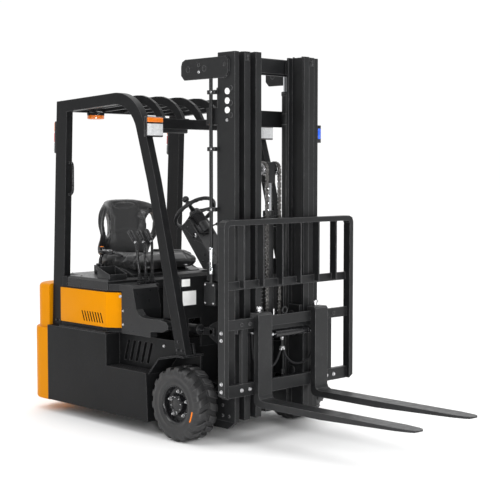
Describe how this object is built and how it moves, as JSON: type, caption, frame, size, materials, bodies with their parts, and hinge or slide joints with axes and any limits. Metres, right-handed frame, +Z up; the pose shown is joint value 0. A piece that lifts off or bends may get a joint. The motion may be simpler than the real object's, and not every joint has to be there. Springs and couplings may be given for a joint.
{
  "type": "forklift truck",
  "caption": "Compact electric counterbalance forklift truck with overhead guard, telescopic mast, side shifter, load backrest and forks.",
  "frame": {"origin": "bottom centre of the truck on the floor", "axes": "+X forward along the forks, +Y to the driver's left, +Z up"},
  "size_m": [2.803, 1.008, 2.078],
  "materials": {
    "frame_paint": "satin",
    "casting_yellow": "satin",
    "panel_yellow": "satin",
    "fork_steel": "satin",
    "rod_chrome": "polished",
    "chain_steel": "brushed",
    "tyre_rubber": "matte",
    "hood_plastic": "matte",
    "seat_vinyl": "matte",
    "lamp_lens": "gloss",
    "battery_case": "matte"
  },
  "bodies": {
    "chassis": {"chassis_frame": "frame_paint", "floor_plate": "frame_paint", "counterweight": "casting_yellow", "battery_block": "battery_case", "side_panels": "panel_yellow", "body_shell": "frame_paint", "front_cowl": "frame_paint", "side_console": "hood_plastic", "driver_controls": "hood_plastic", "steering_column": "hood_plastic", "overhead_guard": "frame_paint", "roof_bars": "frame_paint", "cab_fittings": "frame_paint", "front_lamps": "lamp_lens", "rear_lamps": "lamp_lens", "drive_axle": "frame_paint", "tilt_barrels": "frame_paint"},
    "hood": {"hood_lid": "hood_plastic", "seat_base": "hood_plastic", "seat_cushion": "seat_vinyl", "seat_backrest": "seat_vinyl"},
    "steering_wheel": {"steering_wheel": "hood_plastic"},
    "front_wheel_right": {"front_tyre_right": "tyre_rubber", "front_rim_right": "frame_paint"},
    "front_wheel_left": {"front_tyre_left": "tyre_rubber", "front_rim_left": "frame_paint"},
    "steer_unit": {"steer_yoke": "frame_paint"},
    "rear_wheels": {"rear_tyres": "tyre_rubber", "rear_rims": "frame_paint"},
    "mast_outer": {"outer_mast": "frame_paint", "lift_barrels": "frame_paint", "mast_fittings": "frame_paint"},
    "mast_middle": {"middle_mast": "frame_paint", "lift_rods": "rod_chrome", "mast_chains": "chain_steel"},
    "mast_inner": {"inner_mast": "frame_paint", "free_lift_barrel": "frame_paint"},
    "free_lift": {"free_lift_head": "rod_chrome", "carriage_chains": "chain_steel"},
    "carriage": {"lift_carriage": "frame_paint"},
    "side_shift": {"shift_frame": "frame_paint", "load_backrest": "frame_paint", "fork_right": "fork_steel", "fork_left": "fork_steel"},
    "tilt_rods": {"tilt_rods": "rod_chrome"}
  },
  "joints": [
    {"name": "front_wheel_right_spin", "type": "hinge", "parent": "chassis", "child": "front_wheel_right", "pos_m": [-0.0315, -0.428, 0.203], "axis": [0, 1, 0], "continuous": true},
    {"name": "front_wheel_left_spin", "type": "hinge", "parent": "chassis", "child": "front_wheel_left", "pos_m": [-0.0315, 0.428, 0.203], "axis": [0, 1, 0], "continuous": true},
    {"name": "rear_steer", "type": "hinge", "parent": "chassis", "child": "steer_unit", "pos_m": [-1.1165, 0, 0.3], "axis": [0, 0, 1], "range_deg": [-90, 90]},
    {"name": "rear_wheels_spin", "type": "hinge", "parent": "steer_unit", "child": "rear_wheels", "pos_m": [-1.1165, 0, 0.1715], "axis": [0, 1, 0], "continuous": true},
    {"name": "steering_turn", "type": "hinge", "parent": "chassis", "child": "steering_wheel", "pos_m": [-0.4185, 0, 1.211], "axis": [-0.6899, 0, 0.7239], "range_deg": [-810, 810]},
    {"name": "hood_open", "type": "hinge", "parent": "chassis", "child": "hood", "pos_m": [-1.1615, 0, 0.821], "axis": [0, -1, 0], "range_deg": [0, 45]},
    {"name": "mast_tilt", "type": "hinge", "parent": "chassis", "child": "mast_outer", "pos_m": [0.0635, 0, 0.17], "axis": [0, 1, 0], "range_deg": [-5, 3]},
    {"name": "tilt_rod_slide", "type": "slide", "parent": "chassis", "child": "tilt_rods", "axis": [1, 0, 0], "range_m": [-0.0367, 0.022]},
    {"name": "mast_lift", "type": "slide", "parent": "mast_outer", "child": "mast_middle", "axis": [0, 0, 1], "range_m": [0, 1.4]},
    {"name": "inner_lift", "type": "slide", "parent": "mast_middle", "child": "mast_inner", "axis": [0, 0, 1], "range_m": [0, 1.4], "deforming": ["mast_chains"]},
    {"name": "carriage_lift", "type": "slide", "parent": "mast_inner", "child": "carriage", "axis": [0, 0, 1], "range_m": [-0.2, 1.1], "deforming": ["carriage_chains"]},
    {"name": "free_lift_slide", "type": "slide", "parent": "mast_inner", "child": "free_lift", "axis": [0, 0, 1], "range_m": [-0.1, 0.55]},
    {"name": "side_shift_slide", "type": "slide", "parent": "carriage", "child": "side_shift", "axis": [0, 1, 0], "range_m": [-0.1, 0.1]}
  ],
  "couplings": [
    {"joint": "steering_turn", "follows": "rear_steer", "ratio": 9},
    {"joint": "tilt_rod_slide", "follows": "mast_tilt", "m_per_rad": 0.42},
    {"joint": "inner_lift", "follows": "mast_lift", "ratio": 1},
    {"joint": "free_lift_slide", "follows": "carriage_lift", "ratio": 0.5}
  ]
}
